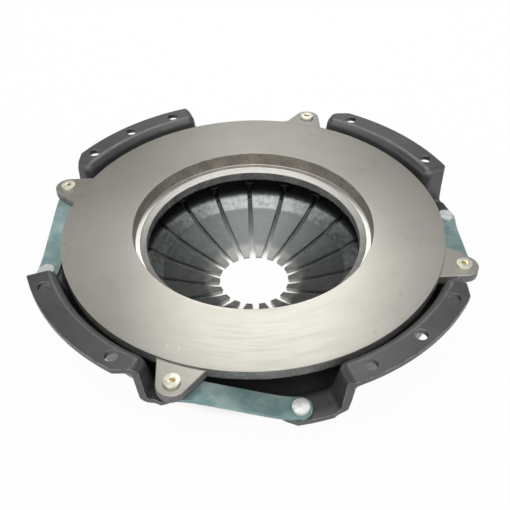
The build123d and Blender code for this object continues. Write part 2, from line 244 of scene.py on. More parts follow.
class FinishColours(bpy.types.PropertyGroup):
    """Colours of the finishes."""

    paint: colour("Paint", "Baked paint of the cover", (0.036, 0.038, 0.036))
    # Pale steel on the cover's edges: partly real wear, partly a painted highlight.
    bare_and_highlight: colour("Bare Steel", "Steel where the paint is rubbed off", (0.55, 0.55, 0.53))
    ground: colour("Ground Iron", "Ground friction face and lug tops", (0.50, 0.485, 0.435))
    turned: colour("Turned Iron", "Turned ledge in the bore", (0.66, 0.65, 0.61))
    cast: colour("Cast Iron", "Skin of the casting", (0.20, 0.198, 0.19))
    recess: colour("Recess", "Turned wall of the recess, stained brown", (0.36, 0.325, 0.28))
    spring: colour("Spring Steel", "Shot-peened spring", (0.175, 0.188, 0.185))
    temper: colour("Temper", "Heat tint on the fingertips", (0.43, 0.41, 0.375))
    phosphate: colour("Phosphate", "Blue-green coat of the straps", (0.17, 0.285, 0.29))
    phosphate_pale: colour("Pale Phosphate", "Pale blotches on the straps", (0.44, 0.55, 0.52))
    zinc: colour("Zinc", "Plating of the rivets", (0.80, 0.83, 0.80))
    copper: colour("Copper", "Centre of the lug rivets", (0.78, 0.60, 0.33))
    wire: colour("Wire", "Drawn wire of the pivot rings", (0.32, 0.32, 0.31))
    # Near-black tone of the pivot rivets: painted shade.
    pivot_shade_tone: colour("Oxide", "Blackened steel of the pivot rivets", (0.028, 0.029, 0.031))


class StudioSettings(bpy.types.PropertyGroup):
    """Camera, lamp, room and floor."""

    lens: bpy.props.FloatProperty(name="Lens", description="Focal length", default=50.98, unit="CAMERA")
    eye: position("Eye", "Place of the camera", (0.0341, -0.4841, 0.3977))
    target: position("Target", "Point that the camera looks at", (0.0042, -0.0431, -0.0059))
    roll: turn("Roll", "Turn of the camera about its own axis", -1.14)
    floor_span: length("Floor", "Half the width of the floor", 24.0)
    floor_white: number("Floor White", "Share of plain white that the camera sees in the floor", 0.96)
    # Glowing disc under the release hole: a painted pool of light.
    painted_light_span: length("Lit Centre", "Radius of the floor's lit patch under the release hole", 0.034)
    shadow_span: length("Shadow", "Radius of the shadow under the object", 0.155)
    rear_place: position("Softbox Place", "Middle of the softbox behind the object", (-0.01, 0.65, 0.89))
    rear_size: length("Softbox Size", "Side of the square softbox", 0.36)
    rear_power: bpy.props.FloatProperty(
        name="Softbox Power", description="Power of the softbox", default=2.35, unit="POWER"
    )
    room_level: number("Room", "Brightness of the room between the panels", 0.04)
    horizon_level: number("Horizon", "Brightness of the walls at the horizon", 0.66)
    low_left: number("Low Left", "Brightness of the low panel on the left", 0.5)
    low_right: number("Low Right", "Brightness of the low panel on the right", 0.2)
    skirt_level: number("Softbox Skirt", "Brightness of the wall under the softbox", 2.6)
    side_left: number("Left Panel", "Brightness of the high panel on the left", 0.8)
    side_right: number("Right Panel", "Brightness of the high panel on the right", 0.6)
    top_level: number("Ceiling", "Brightness of the panel overhead", 1.7)
    front_level: number("Front", "Brightness of the room behind the camera", 1.9)


class PlateProperties(bpy.types.PropertyGroup):
    """All groups of the clutch pressure plate."""

    casting: bpy.props.PointerProperty(type=CastingSizes)
    spring: bpy.props.PointerProperty(type=SpringSizes)
    strap: bpy.props.PointerProperty(type=StrapSizes)
    rivet: bpy.props.PointerProperty(type=RivetSizes)
    colours: bpy.props.PointerProperty(type=FinishColours)
    studio: bpy.props.PointerProperty(type=StudioSettings)


def settings():
    """The scene's own groups of properties."""
    return bpy.context.scene.clutch_plate


# Finishes


class NodeTree:
    """Adds nodes to one node tree."""

    def __init__(self, tree):
        self.tree = tree

    def feed(self, socket, value):
        """Links a socket to another one, or sets its value."""
        if isinstance(value, bpy.types.NodeSocket):
            self.tree.links.new(value, socket)
        else:
            socket.default_value = value

    def node(self, kind, inputs=None, **options):
        """New shader node with its options set and its inputs set or linked."""
        made = self.tree.nodes.new("ShaderNode" + kind)
        for key, value in options.items():
            setattr(made, key, value)
        for key, value in (inputs or {}).items():
            self.feed(made.inputs[key], value)
        return made

    def math(self, operation, first, second=0.0, third=0.0):
        """Result of one Math node."""
        return self.node("Math", {0: first, 1: second, 2: third}, operation=operation).outputs[0]

    def times(self, first, second):
        """Product of two values."""
        return self.math("MULTIPLY", first, second)

    def band(self, value, low, high, to_low=0.0, to_high=1.0):
        """Value taken smoothly from one range to another."""
        inputs = {"Value": value, 1: low, 2: high, 3: to_low, 4: to_high}
        return self.node("MapRange", inputs, interpolation_type="SMOOTHSTEP").outputs["Result"]


class Finish(NodeTree):
    """A material that is built node by node on the row frame's own coordinates."""

    def __init__(self, name, base, metallic, roughness):
        self.material = bpy.data.materials.new(name)
        self.material.use_nodes = True
        super().__init__(self.material.node_tree)
        self.surface = self.tree.nodes["Principled BSDF"]
        plain = {"Base Color": (*base, 1.0), "Metallic": metallic, "Roughness": roughness}
        for key, value in plain.items():
            self.surface.inputs[key].default_value = value
        self.place = self.node("TexCoord").outputs["Object"]
        self.axes = self.node("SeparateXYZ", {0: self.place}).outputs

    def radius(self):
        """Distance from the clutch axis."""
        flat = self.node("CombineXYZ", {0: self.axes["X"], 1: self.axes["Y"]}).outputs[0]
        return self.node("VectorMath", {0: flat}, operation="LENGTH").outputs["Value"]

    def cloud(self, scale, detail=3.0, roughness=0.5, vector=None):
        """Noise value from about 0 to 1."""
        inputs = {"Vector": vector or self.place, "Scale": scale, "Detail": detail, "Roughness": roughness}
        return self.node("TexNoise", inputs).outputs["Fac"]

    def rings(self, across, along):
        """Noise drawn out round the clutch axis, as tool marks are."""
        stretched = (
            self.times(self.radius(), across),
            self.times(self.axes["X"], along),
            self.times(self.axes["Y"], along),
        )
        return self.cloud(1.0, 4.0, 0.65, self.node("CombineXYZ", dict(enumerate(stretched))).outputs[0])

    def tint(self, factor, first, second):
        """Colour between two colours, the inputs 6 and 7 of a Mix node for colours."""
        inputs = {0: factor}
        for key, value in ((6, first), (7, second)):
            inputs[key] = value if isinstance(value, bpy.types.NodeSocket) else (*value, 1.0)
        return self.node("Mix", inputs, data_type="RGBA").outputs[2]

    def use(self, name, socket):
        """Links a value to one of the surface's sockets."""
        self.tree.links.new(socket, self.surface.inputs[name])

    def paint(self, factor, first, second):
        """Gives the surface a colour between two colours."""
        self.use("Base Color", self.tint(factor, first, second))

    def gloss(self, value, low, high):
        """Takes the roughness from one value to another as a noise value rises."""
        self.use("Roughness", self.band(value, 0.3, 0.7, low, high))

    def brush(self, amount):
        """Stretches the gloss across tool marks that run round the clutch axis."""
        self.surface.inputs["Anisotropic"].default_value = amount
        self.use("Tangent", self.node("Tangent", direction_type="RADIAL", axis="Z").outputs[0])

    def relief(self, *layers):
        """Stacks bumps, each a value with its strength and its height in metres."""
        normal = None
        for value, strength, height in layers:
            inputs = {"Height": value, "Strength": strength, "Distance": height}
            if normal:
                inputs["Normal"] = normal
            normal = self.node("Bump", inputs).outputs["Normal"]
        self.use("Normal", normal)


def scaled(tone, factor):
    """Colour made darker or lighter."""
    return tuple(min(1.0, value * factor) for value in tone)


def cover_paint():
    """Satin black paint with fine scratches, dusty patches, and edges painted pale steel in patches: partly
    real wear where paint is rubbed through, partly a painted highlight along the edges.
    """
    colours = settings().colours
    made = Finish("cover_paint", colours.paint, 0.0, 0.4)
    dust = made.band(made.cloud(26.0, 5.0, 0.6), 0.45, 0.75)
    shade = made.tint(dust, colours.paint, scaled(colours.paint, 1.5))
    scratches = made.times(made.band(made.rings(2400.0, 30.0), 0.6, 0.74), 0.35)
    shade = made.tint(scratches, shade, scaled(colours.paint, 4.0))
    # Rounded edges get pale steel in patches: partly real wear, partly a painted highlight along the edges.
    soft = made.node("Bevel", {"Radius": 0.0007}, samples=6).outputs[0]
    flat = made.node("NewGeometry").outputs["True Normal"]
    facing = made.node("VectorMath", {0: soft, 1: flat}, operation="DOT_PRODUCT").outputs["Value"]
    patchy = made.band(made.cloud(180.0, 4.0, 0.7), 0.42, 0.56)
    wear_and_edge_highlight = made.times(made.band(facing, 0.96, 0.86), patchy)
    made.paint(wear_and_edge_highlight, shade, colours.bare_and_highlight)
    made.use("Metallic", made.times(wear_and_edge_highlight, 0.8))
    made.gloss(made.cloud(90.0, 4.0), 0.38, 0.47)
    made.relief((made.cloud(620.0, 2.0), 0.08, 0.0003), (made.cloud(60.0, 2.0), 0.08, 0.0012))
    made.surface.inputs["Specular IOR Level"].default_value = 0.95
    return made.material


def ground_iron():
    """Ground friction face: faint rings, soft stains with thin dark rims and two pale scuffs."""
    tone, pale = settings().colours.ground, (0.66, 0.66, 0.62)
    made = Finish("ground_iron", tone, 0.92, 0.44)
    marks = made.rings(2600.0, 26.0)
    stains = made.band(made.cloud(13.0, 4.0, 0.6), 0.35, 0.7)
    shade = made.tint(stains, scaled(tone, 1.04), scaled(tone, 0.95))
    shade = made.tint(made.band(marks, 0.35, 0.65, 0.0, 0.35), shade, scaled(tone, 0.86))
    rim = made.math("ABSOLUTE", made.math("SUBTRACT", made.cloud(15.0, 6.0, 0.68), 0.55))
    patchy = made.band(made.cloud(22.0, 2.0), 0.5, 0.62)
    shade = made.tint(made.times(made.band(rim, 0.012, 0.0), patchy), shade, scaled(tone, 0.82))
    half_width, half_length, lean = 0.0009, 0.0036, -0.28
    shaping = {"Rotation": (0.0, 0.0, lean), "Scale": (1 / half_width, 1 / half_length, 0.0)}
    for x, y in ((-0.0545, -0.1444), (-0.0455, -0.1462)):
        offset = made.node("VectorMath", {0: made.place, 1: (x, y, 0.0)}, operation="SUBTRACT").outputs[0]
        scuff = made.node("Mapping", {"Vector": offset, **shaping}).outputs[0]
        away = made.node("VectorMath", {0: scuff}, operation="LENGTH").outputs["Value"]
        shade = made.tint(made.times(made.band(away, 1.0, 0.3), made.cloud(700.0)), shade, pale)
    made.use("Base Color", shade)
    made.gloss(marks, 0.37, 0.44)
    made.brush(0.75)
    made.relief((marks, 0.10, 0.0001), (made.cloud(1500.0, 2.0), 0.06, 0.0001))
    return made.material


def turned_iron():
    """Turned ledge with bright concentric tool marks."""
    tone = settings().colours.turned
    made = Finish("turned_iron", tone, 0.95, 0.36)
    marks = made.rings(4200.0, 8.0)
    made.paint(made.band(marks, 0.35, 0.65), scaled(tone, 0.86), tone)
    made.gloss(made.cloud(300.0), 0.36, 0.48)
    made.brush(0.5)
    made.relief((marks, 0.25, 0.00015))
    return made.material


def recess_iron():
    """Wall of the recess, turned once and stained brown since, with dark specks."""
    tone = settings().colours.recess
    made = Finish("recess_iron", tone, 0.6, 0.5)
    specks = made.band(made.cloud(760.0, 4.0, 0.7), 0.5, 0.66)
    stains = made.band(made.cloud(60.0, 4.0), 0.35, 0.7)
    shade = made.tint(stains, scaled(tone, 1.15), scaled(tone, 0.8))
    made.paint(specks, shade, scaled(tone, 0.42))
    made.relief((made.rings(3000.0, 8.0), 0.2, 0.0002), (made.cloud(900.0, 3.0), 0.3, 0.0002))
    return made.material


def cast_iron():
    """Grainy skin of the casting, with painted shade darkening its back."""
    tone = settings().colours.cast
    made = Finish("cast_iron", tone, 0.55, 0.66)
    grain = made.cloud(900.0, 4.0, 0.65)
    patches = made.cloud(70.0, 4.0)
    shade = made.tint(made.band(patches, 0.35, 0.7), scaled(tone, 0.75), scaled(tone, 1.25))
    shade = made.tint(made.band(grain, 0.52, 0.7), shade, scaled(tone, 2.1))
    # The back and the lowest few millimetres of the bore are darkened to about a fifth of the tone: painted
    # shade under the plate.
    back = settings().casting.back_height
    wander = made.math("MULTIPLY_ADD", grain, 0.003, made.axes["Z"])
    made.paint(made.band(wander, back + 0.001, back + 0.004), scaled(tone, 0.18), shade)
    made.relief((made.cloud(240.0, 3.0), 0.35, 0.0006), (grain, 0.6, 0.0004))
    return made.material


def spring_steel():
    """Shot-peened blue-grey steel with a painted highlight on the steep band, heat-tinted fingertips and
    painted shade darkening the rim beyond the outer bend.
    """
    colours, sizes = settings().colours, settings().spring
    tone = colours.spring
    made = Finish("spring_steel", tone, 0.85, 0.40)
    radius = made.radius()
    mottle = made.cloud(210.0, 4.0, 0.7)
    base = made.tint(made.band(mottle, 0.4, 0.68), scaled(tone, 0.93), scaled(tone, 1.08))
    # Beyond the outer bend the sheet is darkened to a third of its tone: painted shade under the plate's bore.
    painted_shade_rim = made.band(radius, sizes.outer_kink + 0.001, sizes.outer_kink + 0.006)
    base = made.tint(painted_shade_rim, base, scaled(tone, 0.3))
    wander = made.math("MULTIPLY_ADD", made.cloud(60.0, 2.0), 0.006, radius)
    tinted = made.band(wander, sizes.tip_radius + 0.012, sizes.tip_radius + 0.019, 1.0, 0.0)
    base = made.tint(made.times(tinted, 0.6), base, colours.temper)
    # The steep band between the two bends is painted twice as light, mottled: a painted highlight standing in
    # for the band's reflection.
    inner = made.band(radius, sizes.inner_kink - 0.0012, sizes.inner_kink + 0.0008)
    outer = made.band(radius, sizes.outer_kink - 0.001, sizes.outer_kink + 0.003, 1.0, 0.0)
    pale = made.times(made.times(inner, outer), made.band(mottle, 0.35, 0.6, 0.25, 1.0))
    made.paint(pale, base, scaled(tone, 2.0))
    made.gloss(mottle, 0.28, 0.38)
    made.relief((made.cloud(1100.0, 2.0), 0.14, 0.0002), (mottle, 0.05, 0.0005))
    return made.material


def strap_steel():
    """Blue-green phosphated strip with pale blotches."""
    colours = settings().colours
    made = Finish("strap_steel", colours.phosphate, 0.5, 0.42)
    blotches = made.band(made.cloud(40.0, 4.0, 0.6), 0.36, 0.74, 0.1, 0.9)
    fine = made.band(made.cloud(420.0, 3.0, 0.7), 0.4, 0.75, 0.0, 0.2)
    base = made.tint(blotches, colours.phosphate, colours.phosphate_pale)
    made.paint(fine, base, scaled(colours.phosphate, 0.6))
    made.gloss(made.cloud(130.0), 0.34, 0.5)
    made.relief((made.cloud(900.0, 2.0), 0.1, 0.0002))
    return made.material


def zinc_plate(name, warmth):
    """Pale zinc with faint stains, yellower with more warmth."""
    tone = settings().colours.zinc
    yellow = (tone[0], tone[1] * 0.94, tone[2] * 0.78)
    tone = tuple(a + (b - a) * warmth for a, b in zip(tone, yellow))
    made = Finish(name, tone, 0.45, 0.36)
    stains = made.band(made.cloud(260.0, 4.0, 0.6), 0.35, 0.7)
    made.paint(stains, scaled(tone, 0.82), scaled(tone, 1.08))
    made.gloss(made.cloud(500.0), 0.28, 0.42)
    made.relief((made.cloud(800.0, 3.0), 0.12, 0.0002))
    return made.material


def plain_metal(name, tone, metallic, roughness, mottle, light, skin):
    """Metal of one tone, mottled at one scale, with a fine skin of a scale, a strength and a height."""
    scale, strength, height = skin
    made = Finish(name, tone, metallic, roughness)
    made.paint(made.cloud(mottle), scaled(tone, 0.6), scaled(tone, light))
    made.relief((made.cloud(scale), strength, height))
    return made.material


def copper_centre():
    """Copper-coloured bottom and rim of the hole in a lug rivet."""
    return plain_metal("copper_centre", settings().colours.copper, 0.95, 0.3, 900.0, 1.3, (1500.0, 0.1, 0.0001))


def painted_shade_steel():
    """Near-black heads of the pivot rivets, painted dark for the shade they sit in under the plate."""
    return plain_metal("painted_shade_steel", settings().colours.pivot_shade_tone, 0.7, 0.4, 600.0, 1.6, (900.0, 0.15, 0.0002))


def drawn_wire():
    """Plain drawn steel with fine streaks along the wire."""
    tone = settings().colours.wire
    made = Finish("drawn_wire", tone, 0.9, 0.35)
    streaks = made.rings(3600.0, 10.0)
    made.paint(streaks, scaled(tone, 0.7), scaled(tone, 1.3))
    made.relief((streaks, 0.15, 0.0001))
    return made.material


# Mesh tools


def rounded(profile, steps=4):
    """Points of a closed profile of radius, height, corner radius and finish, its corners drawn as arcs."""
    points = []
    for index, (x, z, corner, finish) in enumerate(profile):
        here = Vector((x, z))
        if corner <= 0:
            points.append((x, z, finish))
            continue
        before = Vector(profile[index - 1][:2]) - here
        after = Vector(profile[(index + 1) % len(profile)][:2]) - here
        half = before.angle(after) / 2
        reach = min(corner / math.tan(half), 0.49 * before.length, 0.49 * after.length)
        size = reach * math.tan(half)
        centre = here + (before.normalized() + after.normalized()).normalized() * size / math.sin(half)
        start = here + before.normalized() * reach - centre
        end = here + after.normalized() * reach - centre
        for step in range(steps + 1):
            spot = centre + start.lerp(end, step / steps).normalized() * size
            own = finish if step == steps else profile[index - 1][3]
            points.append((spot.x, spot.y, own))
    return points


def divided(points, finish, spacing):
    """Closed profile whose lines of one finish are cut into short pieces."""
    cut = []
    for index, (x, z, own) in enumerate(points):
        cut.append((x, z, own))
        ahead = points[(index + 1) % len(points)]
        pieces = max(1, round(math.hypot(ahead[0] - x, ahead[1] - z) / spacing)) if own == finish else 1
        for piece in range(1, pieces):
            part = piece / pieces
            cut.append((x + (ahead[0] - x) * part, z + (ahead[1] - z) * part, own))
    return cut


def turn_profile(mesh, points, steps, centre=(0.0, 0.0)):
    """Adds a solid turned from a closed profile about an upright axis and returns its vertices by ring."""
    rings = []
    for radius, height, _ in points:
        count = 1 if radius < ON_AXIS else steps
        rings.append([
            mesh.verts.new((
                centre[0] + radius * math.cos(math.tau * i / steps),
                centre[1] + radius * math.sin(math.tau * i / steps),
                height,
            ))
            for i in range(count)
        ])
    for index, (_, _, finish) in enumerate(points):
        ring, ahead = rings[index], rings[(index + 1) % len(rings)]
        if len(ring) == len(ahead) == 1:
            continue
        for i in range(steps):
            j = (i + 1) % steps
            near, far = len(ring), len(ahead)
            corners = [ring[i % near], ring[j % near], ahead[j % far], ahead[i % far]]
            face = mesh.faces.new(list(dict.fromkeys(corners)))
            face.material_index = finish
    return rings


def placed(name, data):
    """New object in the scene."""
    made = bpy.data.objects.new(name, data)
    bpy.context.scene.collection.objects.link(made)
    return made


def add_piece(mesh, name, finishes, nodes):
    """Turns a bmesh into an object with the given finishes, and hides the CAD nodes that it stands for."""
    bmesh.ops.recalc_face_normals(mesh, faces=mesh.faces)
    for face in mesh.faces:
        face.smooth = True
    data = bpy.data.meshes.new(name)
    mesh.to_mesh(data)
    mesh.free()
    data.set_sharp_from_angle(angle=MESH_SHARP)
    for finish in finishes:
        data.materials.append(finish)
    piece = placed(name, data)
    even = piece.modifiers.new("even_normals", "WEIGHTED_NORMAL")
    even.keep_sharp = True
    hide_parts(*nodes)
    return piece


def paint_node(name, finish):
    """Gives a CAD node its finish."""
    for slot in NODES[name].material_slots:
        slot.material = finish


# Pressure plate

GROUND, TURNED, CAST, RECESS = range(4)
FACE_SPACING, SKIN_SPACING = 0.005, 0.0009
SKIN_WAVES, SKIN_PITS = 260, 620
RAGGED_WAVES, RAGGED_NICKS = 150, 420
RAGGED_DEPTH, RAGGED_START = 0.003, 0.4


def casting_profile(sizes):
    """Section of the pressure plate's ring, from the friction face outwards and round."""
    fulcrum_out = sizes.fulcrum_radius + sizes.fulcrum_width / 2
    fulcrum_in = sizes.fulcrum_radius - sizes.fulcrum_width / 2
    fulcrum_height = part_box("pressure_plate")[0].z
    back, edge = sizes.back_height, sizes.face_edge
    fine, cone_round, foot_round = 0.0002, 0.0006, 0.001
    ridge_round, bore_round, shoulder_round = 0.0014, 0.0015, 0.002
    return [
        (sizes.face_inner_radius, sizes.face_height, edge, GROUND),
        (sizes.outer_radius, sizes.face_height, edge, CAST),
        (sizes.outer_radius, sizes.rim_height, sizes.rim_edge, CAST),
        (sizes.rim_radius, sizes.rim_foot, foot_round, CAST),
        (sizes.shoulder_radius, back, shoulder_round, CAST),
        (fulcrum_out + sizes.fulcrum_flare, back, foot_round, TURNED),
        (fulcrum_out, fulcrum_height, ridge_round, TURNED),
        (fulcrum_in, fulcrum_height, ridge_round, TURNED),
        (fulcrum_in - sizes.fulcrum_flare, back, foot_round, CAST),
        (sizes.bore_radius, back, bore_round, CAST),
        (sizes.bore_radius, sizes.bore_height, cone_round, TURNED),
        (sizes.ledge_radius, sizes.ledge_height - edge, fine, TURNED),
        (sizes.ledge_radius + edge, sizes.ledge_height, fine, TURNED),
        (sizes.step_radius, sizes.step_height, edge, RECESS),
    ]


def roughen(mesh, amount):
    """Moves the vertices of the cast skin a little along their normals."""
    mesh.normal_update()
    for vertex in mesh.verts:
        if vertex.link_faces and all(face.material_index == CAST for face in vertex.link_faces):
            waves = noise.noise(vertex.co * SKIN_WAVES)
            pits = noise.noise(vertex.co * SKIN_PITS + Vector((7, 3, 1)))
            vertex.co += vertex.normal * amount * (waves + 0.6 * pits)


def lug_outline(sizes):
    """Plan of a lug along +X: round nose and sides that widen to the rim."""
    middle, nose_radius, base = settings().strap.lug_radius, sizes.lug_nose, sizes.lug_base
    base_x = math.sqrt(sizes.outer_radius**2 - base**2)
    root_x = sizes.outer_radius - nose_radius
    reach = math.hypot(base_x - middle, base)
    touch = math.atan2(base, base_x - middle) - math.acos(nose_radius / reach)
    arc_steps, side_steps = 40, 16
    turns = [touch * (2 * i / arc_steps - 1) for i in range(arc_steps + 1)]
    nose = [(middle + nose_radius * math.cos(a), nose_radius * math.sin(a)) for a in turns]
    end_x, end_y = nose[-1]
    parts = [i / side_steps for i in range(1, side_steps + 1)]
    side = [(end_x + (base_x - end_x) * part, end_y + (base - end_y) * part) for part in parts]
    other = [(x, -y) for x, y in reversed(side)]
    return nose + side + [(root_x, base), (root_x, -base)] + other


def outline_normals(outline):
    """Outward direction at each point of an anticlockwise outline."""
    normals = []
    for index in range(len(outline)):
        before, after = Vector(outline[index - 1]), Vector(outline[(index + 1) % len(outline)])
        along = after - before
        normals.append(Vector((along.y, -along.x)).normalized())
    return normals


def add_lug(mesh, sizes, angle):
    """Adds one lug that runs into the ring."""
    outline = lug_outline(sizes)
    normals = outline_normals(outline)
    edge, steps, wall_steps = sizes.lug_edge, 4, 9
    tilts = [math.pi / 2 * i / steps for i in range(steps + 1)]
    levels = [(edge * (1 - math.sin(a)), sizes.lug_top - edge * (1 - math.cos(a))) for a in tilts]
    start = levels[-1][1]
    drop = start - (sizes.lug_bottom + 2 * edge)
    levels += [(0.0, start - drop * i / wall_steps) for i in range(1, wall_steps + 1)]
    levels += [(0.6 * edge, sizes.lug_bottom + 0.6 * edge), (2 * edge, sizes.lug_bottom)]
    place = Matrix.Rotation(angle, 3, "Z")
    rows = []
    for inset, height in levels:
        rows.append([
            mesh.verts.new(place @ Vector((x - n.x * inset, y - n.y * inset, height)))
            for (x, y), n in zip(outline, normals)
        ])
    for level, (row, below) in enumerate(zip(rows, rows[1:])):
        for i in range(len(outline)):
            j = (i + 1) % len(outline)
            face = mesh.faces.new((row[i], row[j], below[j], below[i]))
            face.material_index = GROUND if level < steps else CAST
    mesh.faces.new(rows[0]).material_index = GROUND
    mesh.faces.new(rows[-1]).material_index = CAST


class CLUTCH_OT_casting(bpy.types.Operator):
    """Builds the iron pressure plate with its ground, turned and cast surfaces."""

    bl_idname = "clutch.casting"
    bl_label = "Pressure Plate"

    def execute(self, context):
        sizes = settings().casting
        mesh = bmesh.new()
        points = divided(rounded(casting_profile(sizes)), CAST, SKIN_SPACING)
        points = divided(points, GROUND, FACE_SPACING)
        rings = turn_profile(mesh, points, CASTING_STEPS)
        for (radius, height, _), ring in zip(points, rings):
            low = (sizes.bore_height - height) / (sizes.bore_height - sizes.back_height)
            if radius > sizes.bore_radius + RAGGED_DEPTH or low < RAGGED_START:
                continue
            for vertex in ring:
                jag = noise.noise(vertex.co * RAGGED_WAVES) + 0.5 * noise.noise(vertex.co * RAGGED_NICKS)
                vertex.co.z += sizes.ragged * jag * low
        for index in range(STRAP_COUNT):
            add_lug(mesh, sizes, settings().strap.first_lug + index * math.tau / STRAP_COUNT)
        roughen(mesh, sizes.grain)
        finishes = [ground_iron(), turned_iron(), cast_iron(), recess_iron()]
        piece = add_piece(mesh, "pressure_plate_casting", finishes, ["pressure_plate"])
        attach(piece, "pressure_plate")
        return {"FINISHED"}


# Diaphragm spring

RIM_ANGLE = 1.0


def eased(x, corner, ease, slope_before, slope_after):
    """Height over a rounded corner between two slopes, measured from the corner."""
    if x <= corner - ease:
        return (x - corner) * slope_before
    if x >= corner + ease:
        return (x - corner) * slope_after
    run = x - corner + ease
    return (x - corner) * slope_before + (slope_after - slope_before) * run * run / (4 * ease)


def spring_height(sizes, radius):
    """Height of the middle of the spring's sheet."""
    outer = sizes.pivot_height + (sizes.outer_kink - sizes.pivot_radius) * sizes.rim_slope
    inner = outer - (sizes.outer_kink - sizes.inner_kink) * sizes.kink_slope
    middle = (sizes.outer_kink + sizes.inner_kink) / 2
    if radius > middle:
        return outer + eased(radius, sizes.outer_kink, sizes.outer_ease, sizes.kink_slope, sizes.rim_slope)
    depth = max(0.0, sizes.inner_kink - radius)
    span = sizes.inner_kink - sizes.tip_radius
    curl = sizes.finger_curl * depth * (depth - span) / (2 * span)
    bend = eased(radius, sizes.inner_kink, sizes.inner_ease, sizes.finger_slope, sizes.kink_slope)
    return inner + curl + bend


def slot_half(sizes, radius):
    """Half the width of the opening between two fingers."""
    run = (radius - sizes.tip_radius) / (sizes.window_start - sizes.tip_radius)
    slot = (sizes.slot_tip + (sizes.slot_root - sizes.slot_tip) * min(run, 1.0)) / 2
    if radius < sizes.window_start:
        return slot
    corner = sizes.window_round
    depth = max(0.0, corner - min(radius - sizes.window_start, sizes.window_end - radius))
    window = sizes.window_width / 2 - corner + math.sqrt(max(0.0, corner**2 - depth**2))
    return max(window, slot if radius < sizes.window_start + corner else 0.0)


def spring_rows(sizes):
    """Radii of the spring's rows of vertices, closer together where it bends."""
    def spread(start, end, step):
        count = max(1, round((end - start) / step))
        return [start + (end - start) * i / count for i in range(count)]

    inner_bend, outer_bend = 0.002, 0.003
    corner, corner_parts = sizes.window_round, (0.05, 0.15, 0.3, 0.5, 0.75)
    rows = spread(sizes.tip_radius, sizes.inner_kink - inner_bend, 0.0028)
    rows += spread(sizes.inner_kink - inner_bend, sizes.inner_kink + inner_bend, 0.0005)
    rows += spread(sizes.inner_kink + inner_bend, sizes.outer_kink - outer_bend, 0.0014)
    rows += spread(sizes.outer_kink - outer_bend, sizes.window_start, 0.0006)
    rows += [sizes.window_start + corner * part for part in (0.0, *corner_parts)]
    rows += spread(sizes.window_start + corner, sizes.window_end - corner, 0.002)
    rows += [sizes.window_end - corner * part for part in (1.0, *reversed(corner_parts))]
    ring_start = len(rows)
    rows += spread(sizes.window_end, sizes.outer_radius, 0.0025) + [sizes.outer_radius]
    return rows, ring_start


def spring_sheet(sizes):
    """Radius and angles of the points of every row, with the row where the closed ring begins."""
    rows, ring_start = spring_rows(sizes)
    pitch = math.tau / sizes.fingers
    columns, bridge = 8, 3
    sheet = []
    for index, radius in enumerate(rows):
        half = math.asin(slot_half(sizes, radius) / radius)
        angles = []
        for finger in range(sizes.fingers):
            start = sizes.first_slot + finger * pitch
            angles.append([start + half + (pitch - 2 * half) * i / columns for i in range(columns + 1)])
            if index >= ring_start:
                ahead = start + pitch
                angles[-1] += [ahead - half + 2 * half * i / (bridge + 1) for i in range(1, bridge + 1)]
        sheet.append(angles)
    return rows, ring_start, sheet


def skin_spring(mesh, sizes):
    """Adds the top, the underside and all walls of the fingered spring, and returns its rims."""
    rows, ring_start, sheet = spring_sheet(sizes)
    half, nudge = sizes.thickness / 2, 1e-5
    top, under = [], []
    for radius, angles in zip(rows, sheet):
        rise = spring_height(sizes, radius + nudge) - spring_height(sizes, radius - nudge)
        slope = rise / (2 * nudge)
        lean = math.sqrt(1 + slope * slope)
        height = spring_height(sizes, radius)
        for store, side in ((top, half), (under, -half)):
            out, up = radius - side * slope / lean, height + side / lean
            store.append([
                [mesh.verts.new((out * math.cos(a), out * math.sin(a), up)) for a in finger]
                for finger in angles
            ])
    pair = {}
    for row_top, row_under in zip(top, under):
        for finger_top, finger_under in zip(row_top, row_under):
            pair.update(zip(finger_top, finger_under))
    upper = []
    for row in range(len(rows) - 1):
        for finger in range(sizes.fingers):
            near, far = top[row][finger], top[row + 1][finger]
            if row >= ring_start:
                following = (finger + 1) % sizes.fingers
                near, far = near + [top[row][following][0]], far + [top[row + 1][following][0]]
            for i in range(min(len(near), len(far)) - 1):
                upper.append(mesh.faces.new((near[i], near[i + 1], far[i + 1], far[i])))
    for face in upper:
        mesh.faces.new([pair[v] for v in reversed(face.verts)])
    rims = [edge for face in upper for edge in face.edges if len(edge.link_faces) == 1]
    for edge in dict.fromkeys(rims):
        a, b = edge.verts
        mesh.faces.new((a, b, pair[b], pair[a]))
    mesh.normal_update()
    rims = [edge for edge in mesh.edges if edge.calc_face_angle(0) > RIM_ANGLE]
    return [e for e in rims if abs(e.verts[0].co.z - e.verts[1].co.z) < 0.8 * sizes.thickness]


class CLUTCH_OT_spring(bpy.types.Operator):
    """Builds the dished diaphragm spring, which flattens as the pressure plate is pushed in."""

    bl_idname = "clutch.spring"
    bl_label = "Diaphragm Spring"

    def execute(self, context):
        sizes = settings().spring
        mesh = bmesh.new()
        rims = skin_spring(mesh, sizes)
        bmesh.ops.bevel(
            mesh, geom=rims, offset=sizes.edge, segments=2, profile=0.5, affect="EDGES", clamp_overlap=True
        )
        finishes = [spring_steel()]
        piece = add_piece(mesh, "diaphragm_spring_fingers", finishes, ["diaphragm_spring"])
        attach(piece, "cover")
        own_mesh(piece)
        return {"FINISHED"}


# Drive straps


def strap_place(sizes, index):
    """Place of a strap with X from its lug rivet to its cover rivet, and the distance between them."""
    lug = sizes.first_lug + index * math.tau / STRAP_COUNT
    seat = sizes.first_seat + index * math.tau / STRAP_COUNT
    start = Vector((sizes.lug_radius * math.cos(lug), sizes.lug_radius * math.sin(lug), 0))
    end = Vector((sizes.seat_radius * math.cos(seat), sizes.seat_radius * math.sin(seat), 0))
    heading = math.atan2(end.y - start.y, end.x - start.x)
    return Matrix.Translation(start) @ Matrix.Rotation(heading, 4, "Z"), (end - start).length


